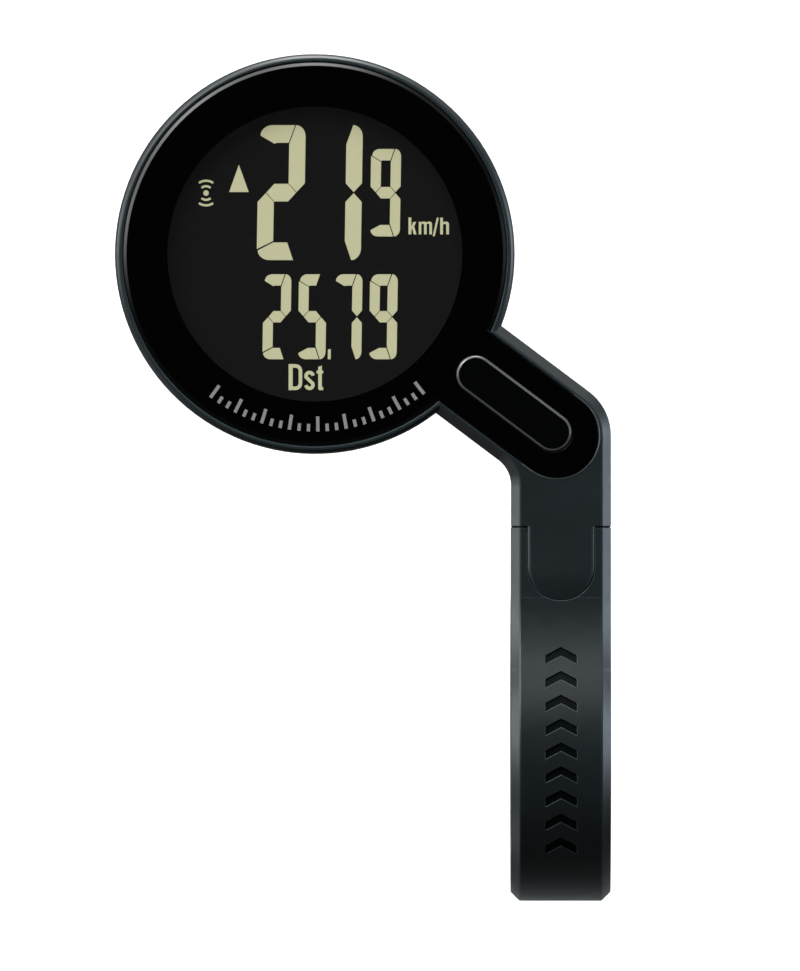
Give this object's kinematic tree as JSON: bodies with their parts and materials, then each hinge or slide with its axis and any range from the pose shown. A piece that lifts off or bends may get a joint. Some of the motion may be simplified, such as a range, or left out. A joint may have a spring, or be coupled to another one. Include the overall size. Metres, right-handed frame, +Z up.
{
  "type": "cycling computer",
  "caption": "Round bicycle computer with a dark display on a bent arm, an oval front button, two rear buttons, a coin-slot battery door and a hinged handlebar clamp with rubber pads.",
  "frame": {"origin": "on the handlebar's axis, in the middle of the clamp band's width", "axes": "+X along the handlebar to the rider's right, +Y forwards, +Z up, out of the display's face"},
  "size_m": [0.0595, 0.1018, 0.038],
  "materials": {
    "case": "satin",
    "lens": "gloss",
    "lens_print": "gloss",
    "lcd_glass": "gloss",
    "lcd_film": "satin",
    "reflector": "satin",
    "white_plastic": "matte",
    "black_plastic": "gloss",
    "key_plastic": "satin",
    "rubber": "matte",
    "board": "satin",
    "chip": "matte",
    "ceramic_parts": "satin",
    "ferrite": "matte",
    "copper_wire": "gloss",
    "contact_metal": "gloss",
    "battery_steel": "satin",
    "fastener_steel": "gloss",
    "black_steel": "satin"
  },
  "bodies": {
    "head": {"upper_case": "case", "rear_case": "case", "lens": "lens", "lens_mask": "lens_print", "lcd_polarizer": "lcd_film", "lcd_front_glass": "lcd_glass", "lcd_rear_glass": "lcd_glass", "lcd_reflector": "reflector", "lcd_holder": "white_plastic", "zebra_strip": "rubber", "main_board": "board", "controller_chip": "chip", "quartz_crystal": "fastener_steel", "board_components": "ceramic_parts", "antenna_core": "ferrite", "antenna_coil": "copper_wire", "mode_switch": "chip", "menu_switch": "chip", "ac_switch": "chip", "battery": "battery_steel", "positive_contact": "contact_metal", "negative_contact": "contact_metal", "case_seal": "rubber", "case_screws": "black_steel", "mode_button_seal": "rubber", "menu_key_seal": "rubber", "ac_key_seal": "rubber", "clamp_upper": "case", "upper_pad": "rubber", "hinge_pin": "fastener_steel", "clamp_nut": "fastener_steel", "arm_screws": "black_steel"},
    "lower_jaw": {"clamp_lower": "case", "lower_pad": "rubber"},
    "bolt": {"clamp_bolt": "fastener_steel", "bolt_washer": "fastener_steel"},
    "door": {"battery_door": "case", "battery_door_seal": "rubber"},
    "front_key": {"mode_button": "black_plastic"},
    "menu_button": {"menu_key": "key_plastic"},
    "ac_button": {"ac_key": "key_plastic"}
  },
  "joints": [
    {"name": "clamp_hinge", "type": "hinge", "parent": "head", "child": "lower_jaw", "pos_m": [0, -0.017, -0.0084], "axis": [-1, 0, 0], "range_deg": [0, 100]},
    {"name": "bolt_travel", "type": "slide", "parent": "lower_jaw", "child": "bolt", "axis": [0, 0, -1], "range_m": [0, 0.012]},
    {"name": "door_turn", "type": "hinge", "parent": "head", "child": "door", "pos_m": [-0.02955, 0.0588, 0.003], "axis": [0, 0, -1], "range_deg": [0, 45]},
    {"name": "front_key_press", "type": "slide", "parent": "head", "child": "front_key", "axis": [0, 0, -1], "range_m": [0, 0.0005], "stiffness_N_per_m": 300, "springref_m": -0.0005},
    {"name": "menu_key_press", "type": "slide", "parent": "head", "child": "menu_button", "axis": [0, 0, 1], "range_m": [0, 0.0004], "stiffness_N_per_m": 300, "springref_m": -0.0005},
    {"name": "ac_key_press", "type": "slide", "parent": "head", "child": "ac_button", "axis": [0, 0, 1], "range_m": [0, 0.0004], "stiffness_N_per_m": 300, "springref_m": -0.0005}
  ]
}
